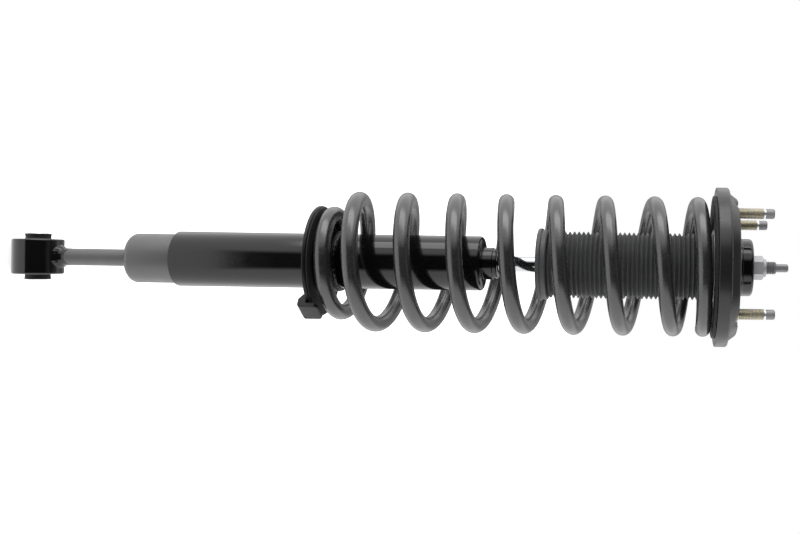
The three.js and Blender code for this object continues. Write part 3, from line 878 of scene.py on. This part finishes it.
def rod():
    """Chromed shaft, threaded top and a small hexagonal tip."""
    shaft_r, bottom, top = radius("piston_rod"), low("piston_rod"), high("piston_rod")
    shoulder = low("lower_bush_washer") - 0.3 * MM
    screw = 5.9 * MM
    tip = 11.0 * MM
    piston_seat = high("piston_support_disc") + 0.3 * MM
    stub = 4.0 * MM
    shaft = [(0.0, bottom), (stub - 0.6 * MM, bottom), (stub, bottom + 0.6 * MM), (stub, piston_seat)]
    shaft += [(shaft_r - 0.6 * MM, piston_seat), (shaft_r, piston_seat + 0.6 * MM)]
    shaft += [(shaft_r, shoulder - 0.6 * MM), (shaft_r - 0.6 * MM, shoulder), (0.0, shoulder)]
    chromed = skin("piston_rod_shaft", shaft, 96, closed=False, sharp=30.0)
    dress(chromed, "top_mount", "chrome", CHROME, "piston_rod")
    rows = [(0.0, shoulder), (screw - 0.4 * MM, shoulder), (screw - 0.4 * MM, 0.0)]
    rows += thread_rows(screw, 0.95 * MM, 1.5 * MM, 0.2 * MM, top - tip, 1.5 * MM, 1.3 * MM)
    flats = hexagon_radius(6.4 * MM)
    rows += [(flats, top - tip + 0.1 * MM), (flats, top - 1.0 * MM)]
    rows += [(lambda a: min(flats(a), 3.1 * MM), top - 0.5 * MM), (2.5 * MM, top), (0.0, top)]
    end = skin("piston_rod_thread", rows, 72, closed=False, sharp=32.0)
    dress(end, "top_mount", "steel", TIP_STEEL)


# ---------------------------------------------------------------- top mount
def stud_centres():
    return [centre(n).xy for n in STUDS]


def plate():
    """Pressed plate: rolled lip, valley, raised crown, and a shallow pressed seat round each stud."""
    rim, lip = radius("mount_plate"), low("mount_plate")
    crown = rim - 10.5 * MM
    hole = radius("mount_bush_rubber") + 3.0 * MM
    sheet = 2.9 * MM
    top = PLATE_TOP
    valley = top - 8.3 * MM
    outline = [
        (hole, top - sheet, 0.5 * MM),
        (crown - 1.2 * MM, top - sheet, 2.0 * MM),
        (crown + 3.8 * MM, valley - sheet, 1.4 * MM),
        (rim - sheet - 0.2 * MM, valley - sheet, 1.2 * MM),
        (rim - sheet, lip, 0.6 * MM),
        (rim, lip, 0.6 * MM),
        (rim, valley + 0.6 * MM, 3.0 * MM),
        (crown + 6.0 * MM, valley + 0.2 * MM, 2.4 * MM),
        (crown, top, 3.2 * MM),
    ]
    rows = fillet(outline + [(hole, top, 0.8 * MM)], steps=6)
    crowded = []
    for (r0, z0), (r1, z1) in zip(rows, rows[1:] + rows[:1]):
        pieces = max(1, int(abs(r1 - r0) / (1.3 * MM)))
        crowded += [(r0 + (r1 - r0) * k / pieces, z0 + (z1 - z0) * k / pieces) for k in range(pieces)]
    seats = stud_centres()

    def press(point):
        for place in seats:
            away = (point.xy - place).length
            t = min(1.0, max(0.0, (away - 7.6 * MM) / (3.6 * MM)))
            sink = 2.3 * MM * (1 - t * t * (3 - 2 * t))
            if point.z > top - 6.2 * MM:
                point.z -= sink * min(1.0, max(0.0, (point.z - (top - 6.2 * MM)) / (2.4 * MM)))
        for k in range(6):
            a = TURN * (k + 0.5) / 6
            mid = Vector((math.cos(a), math.sin(a))) * (hole + crown) * 0.47
            along = Vector((math.cos(a), math.sin(a)))
            gap = point.xy - mid
            far = math.hypot(gap.dot(along) / (11.0 * MM), gap.cross(along) / (3.6 * MM))
            if far < 1.0 and point.z > top - 4.0 * MM:
                point.z -= 0.9 * MM * (1 - far * far) ** 2
        return point

    disc = skin("mount_plate_pressing", crowded, 240, sharp=42.0, shift=press)
    dress(disc, "top_mount", "plate_steel", PLATE, "mount_plate")


def seat_ring():
    outer, bottom, top = radius("upper_spring_seat"), low("upper_spring_seat"), high("upper_spring_seat")
    sheet = 2.4 * MM
    rows = fillet([
        (22.5 * MM, bottom, 0.6 * MM),
        (outer, bottom, 0.9 * MM),
        (outer, bottom + sheet, 0.9 * MM),
        (36.0 * MM, bottom + sheet, 1.6 * MM),
        (34.0 * MM, top, 0.8 * MM),
        (31.0 * MM, top, 0.8 * MM),
        (33.0 * MM, bottom + sheet, 1.6 * MM),
        (22.5 * MM, bottom + sheet, 0.6 * MM),
    ])
    ring = skin("upper_seat_ring", rows, 144)
    dress(ring, "top_mount", "plate_steel", PLATE, "upper_spring_seat")


def studs():
    """Plated screw studs with a bright undercut, a plain steel pilot and a knurled collar in its seat."""
    pitch = 1.25 * MM
    for number, node in enumerate(STUDS, 1):
        place = centre(node)
        bottom, top = low(node) - 2.2 * MM, high(node)
        screw = 4.9 * MM
        pilot = top - 7.6 * MM
        seat = PLATE_TOP - 2.3 * MM
        head = 6.2 * MM
        knurl = lambda a: 6.6 * MM + 0.28 * MM * math.cos(28 * a)
        rows = [(0.0, bottom), (head - 0.5 * MM, bottom), (head, bottom + 0.5 * MM)]
        rows += [(head, seat - 3.2 * MM), (screw, seat - 3.2 * MM), (screw, seat)]
        rows += [(knurl, seat), (knurl, seat + 1.1 * MM), (5.6 * MM, seat + 1.6 * MM)]
        rows += thread_rows(screw, 0.7 * MM, pitch, seat + 1.7 * MM, pilot - 1.8 * MM, 1.2 * MM, 0.7 * MM)
        rows += [(3.9 * MM, pilot - 1.3 * MM), (3.9 * MM, pilot - 0.2 * MM)]
        rows += [(4.4 * MM, pilot + 0.3 * MM), (4.4 * MM, top - 1.2 * MM), (3.5 * MM, top - 0.1 * MM)]
        rows += [(3.2 * MM, top), (0.0, top)]
        stud = skin(f"plated_stud_{number}", rows, 84, closed=False, sharp=32.0)
        dress(stud, "top_mount", "gold_zinc", GOLD, node)
        stud.data.materials.append(TIP_STEEL)
        stud.data.materials.append(ZINC)
        for face in stud.data.polygons:
            if face.center.z > pilot - 0.3 * MM:
                face.material_index = 1
            elif face.center.z > pilot - 1.9 * MM:
                face.material_index = 2
        move(stud, Vector((place.x, place.y, 0)))


def bush_cup():
    """Drawn cup that holds the top bush: rolled shoulder, faint step, and a weld flange below."""
    wide, bottom, top = radius("mount_cup"), low("mount_cup"), high("mount_cup")
    outer = wide - 6.0 * MM
    wall = 2.6 * MM
    flange = PLATE_TOP - 3.3 * MM
    rows = fillet([
        (outer - wall, bottom, 0.6 * MM),
        (outer, bottom, 0.6 * MM),
        (outer, flange - 2.9 * MM, 1.2 * MM),
        (wide, flange - 2.9 * MM, 0.6 * MM),
        (wide, flange, 0.6 * MM),
        (outer + 0.25 * MM, flange, 0.3 * MM),
        (outer + 0.25 * MM, 4.2 * MM, 0.5 * MM),
        (outer - 0.35 * MM, 5.0 * MM, 0.5 * MM),
        (outer - 0.35 * MM, top, 3.4 * MM),
        (17.0 * MM, top, 1.0 * MM),
        (17.0 * MM, top - 2.4 * MM, 0.8 * MM),
        (outer - wall - 0.3 * MM, top - 2.6 * MM, 2.0 * MM),
    ], steps=7)
    dress(skin("bush_cup_shell", rows, 144), "top_mount", "black_gloss", GLOSS, "mount_cup")


def bush_rubber():
    outer, bottom, top = radius("mount_bush_rubber"), low("mount_bush_rubber"), high("mount_bush_rubber")
    bore = radius("mount_bush_sleeve") + 0.05 * MM
    rows = fillet([
        (bore, bottom + 0.6 * MM, 0.3 * MM),
        (bore + 4.0 * MM, bottom, 1.2 * MM),
        (outer - 5.0 * MM, bottom + 0.2 * MM, 2.0 * MM),
        (outer, bottom + 4.0 * MM, 1.2 * MM),
        (outer, top - 2.6 * MM, 1.0 * MM),
        (17.4 * MM, top - 0.4 * MM, 1.0 * MM),
        (16.2 * MM, top - 1.4 * MM, 0.8 * MM),
        (bore + 4.6 * MM, top - 1.2 * MM, 0.8 * MM),
        (bore + 3.4 * MM, top, 0.6 * MM),
        (bore, top - 0.3 * MM, 0.2 * MM),
    ])
    dress(skin("top_bush_rubber", rows, 112), "top_mount", "rubber", RUBBER, "mount_bush_rubber")


def washer(name, node, slot, material):
    outer, bottom, top = radius(node), low(node), high(node)
    rows = fillet([
        (6.2 * MM, bottom, 0.3 * MM),
        (outer, bottom, 0.5 * MM),
        (outer, top, 0.7 * MM),
        (6.2 * MM, top, 0.3 * MM),
    ])
    dress(skin(name, rows, 112), "top_mount", slot, material, node)


def rod_nut():
    """Hexagon lock nut: both ends chamfered and a round locking collar on top."""
    bottom, top = low("rod_nut"), high("rod_nut")
    flats = hexagon_radius(19.0 * MM)
    corner_r = 10.9 * MM
    bevel = 1.3 * MM
    shoulder = top - 2.6 * MM
    bore = 5.7 * MM
    rows = [(bore, bottom + 0.3 * MM), (bore + 0.5 * MM, bottom)]
    for k in range(7):
        t = k / 6
        limit = 9.2 * MM + (corner_r - 9.2 * MM) * math.sin(t * math.pi / 2)
        height = bottom + bevel * (1 - math.cos(t * math.pi / 2))
        rows.append((lambda a, limit=limit: min(flats(a), limit), height))
    for k in range(9):
        t = k / 8
        limit = corner_r - (corner_r - 9.0 * MM) * (1 - math.cos(t * math.pi / 2))
        rows.append((lambda a, limit=limit: min(flats(a), limit), shoulder - bevel * (1 - t)))
    rows += [(8.6 * MM, shoulder + 0.05 * MM), (8.3 * MM, shoulder + 0.4 * MM), (8.1 * MM, top - 0.7 * MM)]
    rows += [(7.7 * MM, top - 0.15 * MM), (7.2 * MM, top), (bore + 0.5 * MM, top), (bore, top - 0.4 * MM)]
    nut = skin("rod_lock_nut", rows, 144, sharp=30.0)
    dress(nut, "top_mount", "bright_zinc", NUT_ZINC, "rod_nut")


def stop_cup():
    """The pressed cup that holds the bump stop and the boot's neck."""
    lo_z, top = low("bump_stop_cup"), high("bump_stop_cup")
    rows = fillet([
        (8.5 * MM, top - 2.0 * MM, 0.4 * MM),
        (21.5 * MM, top - 2.0 * MM, 1.0 * MM),
        (21.5 * MM, lo_z, 0.5 * MM),
        (24.0 * MM, lo_z, 0.8 * MM),
        (24.0 * MM, top - 2.0 * MM, 1.0 * MM),
        (33.0 * MM, top - 2.0 * MM, 0.6 * MM),
        (33.0 * MM, top, 0.6 * MM),
        (8.5 * MM, top, 0.4 * MM),
    ])
    dress(skin("bump_stop_holder", rows, 112), "top_mount", "steel", STEEL, "bump_stop_cup")


# ---------------------------------------------------------------- inner pieces keep their CAD shape
INNER = {
    "mount_bush_sleeve": STEEL,
    "rebound_stop_ring": RUBBER,
    "rebound_stop_collar": STEEL,
    "piston_support_disc": STEEL,
    "piston_intake_disc": STEEL,
    "piston": IRON,
    "piston_band": BEARING,
    "piston_shims": STEEL,
    "piston_nut": STEEL,
    "pressure_cylinder": STEEL,
    "rod_guide": IRON,
    "rod_guide_bush": BEARING,
    "oil_seal": RUBBER,
    "base_valve_body": IRON,
    "base_valve_pin": STEEL,
    "base_intake_disc": STEEL,
    "base_valve_shims": STEEL,
}


def dress_inner():
    for node, material in INNER.items():
        data = NODES[node].data
        data.materials.clear()
        data.materials.append(material)


# ---------------------------------------------------------------- room, lights and camera
def floor():
    """A broad, slightly mottled pale floor just under the lower eye."""
    rings, sides, reach = 40, 64, 6.0
    level = CAD_BOX[0].z - 1.0 * MM
    verts = [(0.0, 0.0, level)]
    angles = [TURN * i / sides for i in range(sides)]
    for j in range(1, rings + 1):
        r = reach * (j / rings) ** 2
        verts += [(r * math.cos(a), r * math.sin(a), level) for a in angles]
    faces = [(0, 1 + i, 1 + (i + 1) % sides) for i in range(sides)]
    for j in range(rings - 1):
        first, second = 1 + j * sides, 1 + (j + 1) * sides
        for i in range(sides):
            k = (i + 1) % sides
            faces.append((first + i, second + i, second + k, first + k))
    slab = finish_mesh("studio_floor", verts, faces)
    r = Recipe("pale_floor", Specular_IOR_Level=0.1, Emission_Strength=FLOOR_GLOW)
    r.shader.inputs["Emission Color"].default_value = (1, 1, 1, 1)
    r.colour(r.blend(r.noise(3.0, 3.0), (0.90, 0.90, 0.90), (0.93, 0.93, 0.93)))
    r.rough(r.span(r.noise(8.0), 0.3, 0.7, 0.8, 0.95))
    slab.data.materials.append(r.material)
    slab.visible_glossy = False


class WorldMath:
    """Small helpers to write sums in the world's node tree."""

    def __init__(self, tree):
        self.tree = tree

    def do(self, operation, a, b=0.0):
        node = self.tree.nodes.new("ShaderNodeMath")
        node.operation = operation
        for socket, value in zip(node.inputs, (a, b)):
            if isinstance(value, float):
                socket.default_value = value
            else:
                self.tree.links.new(value, socket)
        return node.outputs[0]

    def ramp(self, value, start, end):
        """0 below start, 1 above end, smooth between."""
        node = self.tree.nodes.new("ShaderNodeMapRange")
        node.interpolation_type = "SMOOTHSTEP"
        node.inputs["From Min"].default_value = start
        node.inputs["From Max"].default_value = end
        self.tree.links.new(value, node.inputs["Value"])
        return node.outputs["Result"]

    def between(self, low_side, high_side, dark):
        """Brightness of an opening: dark where neither ramp has begun, 1 past either."""
        outside = self.do("MAXIMUM", low_side, high_side)
        return self.do("ADD", self.do("MULTIPLY", outside, 1.0 - dark), dark)


def world():
    """A white studio with a dark opening round the camera and a dimmer patch opposite it.

    Only reflections and light see it: the camera sees plain white behind the strut.
    """
    studio = bpy.data.worlds.new("studio")
    bpy.context.scene.world = studio
    studio.use_nodes = True
    tree = studio.node_tree
    tree.nodes.clear()
    make, link = tree.nodes.new, tree.links.new
    split = make("ShaderNodeSeparateXYZ")
    link(make("ShaderNodeTexCoord").outputs["Generated"], split.inputs[0])
    x, y, z = split.outputs
    sums = WorldMath(tree)
    front = sums.do("LESS_THAN", y, 0.0)
    behind = sums.do("SUBTRACT", 1.0, front)
    aside = sums.do("ABSOLUTE", x)
    below = sums.do("MULTIPLY", z, -1.0)
    ends = sums.do("MAXIMUM", sums.ramp(below, 0.435, 0.475), sums.ramp(z, 0.86, 0.99))
    near = sums.between(sums.ramp(aside, 0.42, 0.68), ends, 0.012)
    far = sums.between(sums.ramp(aside, 0.25, 0.6), sums.ramp(sums.do("ABSOLUTE", z), 0.5, 0.95), 0.35)
    shade = sums.do("ADD", sums.do("MULTIPLY", near, front), sums.do("MULTIPLY", far, behind))
    mount_end = sums.do("SUBTRACT", 1.0, sums.do("MULTIPLY", sums.ramp(z, 0.78, 0.93), 0.8))
    shade = sums.do("MULTIPLY", shade, mount_end)
    glow = make("ShaderNodeBackground")
    link(sums.do("MULTIPLY", shade, STUDIO_LEVEL), glow.inputs["Strength"])
    seen = make("ShaderNodeBackground")
    seen.inputs["Color"].default_value = (1, 1, 1, 1)
    mix = make("ShaderNodeMixShader")
    link(make("ShaderNodeLightPath").outputs["Is Camera Ray"], mix.inputs["Fac"])
    link(glow.outputs[0], mix.inputs[1])
    link(seen.outputs[0], mix.inputs[2])
    glow.inputs["Color"].default_value = (1, 1, 1, 1)
    link(mix.outputs[0], make("ShaderNodeOutputWorld").inputs["Surface"])


def softbox(name, place, target, width, length, power):
    light = bpy.data.lights.new(name, "AREA")
    light.shape = "RECTANGLE"
    light.size, light.size_y = width, length
    light.energy = power
    obj = bpy.data.objects.new(name, light)
    bpy.context.scene.collection.objects.link(obj)
    obj.location = place
    obj.rotation_euler = (Vector(target) - Vector(place)).to_track_quat("-Z", "Y").to_euler()
    obj.visible_camera = False
    return obj


def lights():
    middle = (CAD_BOX[0] + CAD_BOX[1]) / 2
    softbox("key_softbox", (-1.5, -0.35, middle.z + 0.2), middle, 0.9, 1.8, 14.0)
    softbox("fill_softbox", (1.5, -0.25, middle.z + 0.1), middle, 0.8, 1.6, 0.5)


def camera():
    """Side-on view with the strut lying across the picture, its top mount to the right.

    The lens looks square at the strut from opposite a point in the boot's upper half, and the
    sideways shift brings the whole strut into the picture.
    """
    data = bpy.data.cameras.new("view")
    data.sensor_width = 36.0
    data.lens = data.sensor_width * LENS_DISTANCE / VIEW_WIDTH
    data.shift_x = (VIEW_MIDDLE_Z - LENS_Z) / VIEW_WIDTH
    data.shift_y = -(LENS_ABOVE - VIEW_MIDDLE_ABOVE) / VIEW_WIDTH
    data.clip_start, data.clip_end = 0.01, 50.0
    obj = bpy.data.objects.new("view", data)
    bpy.context.scene.collection.objects.link(obj)
    across, up, back = Vector((0, 0, 1)), Vector((-1, 0, 0)), Vector((0, -1, 0))
    right = across * math.cos(VIEW_ROLL) + up * math.sin(VIEW_ROLL)
    above = up * math.cos(VIEW_ROLL) - across * math.sin(VIEW_ROLL)
    turn = Matrix((right, above, back)).transposed()
    place = back * LENS_DISTANCE + up * LENS_ABOVE + across * LENS_Z
    obj.matrix_world = Matrix.Translation(place) @ turn.to_4x4()
    bpy.context.scene.camera = obj


# ---------------------------------------------------------------- build
camera()
world()
lights()
floor()

eye_ring()
eye_rubber()
eye_sleeve()
eye_weld()
stem()
base_cup()
reserve_tube()
striker()
perch()
bent_lug()
pad("lower_pad_rubber", "lower_spring_pad", "damper_body", 1)
pad("upper_pad_rubber", "upper_spring_pad", "top_mount", -1)
spring_wire()
boot()
bump_stop()
rod()
plate()
seat_ring()
studs()
bush_cup()
bush_rubber()
washer("upper_cup_washer", "upper_bush_washer", "bright_zinc", ZINC)
washer("lower_cup_washer", "lower_bush_washer", "steel", STEEL)
rod_nut()
stop_cup()
dress_inner()

bpy.context.scene.view_settings.view_transform = "Standard"
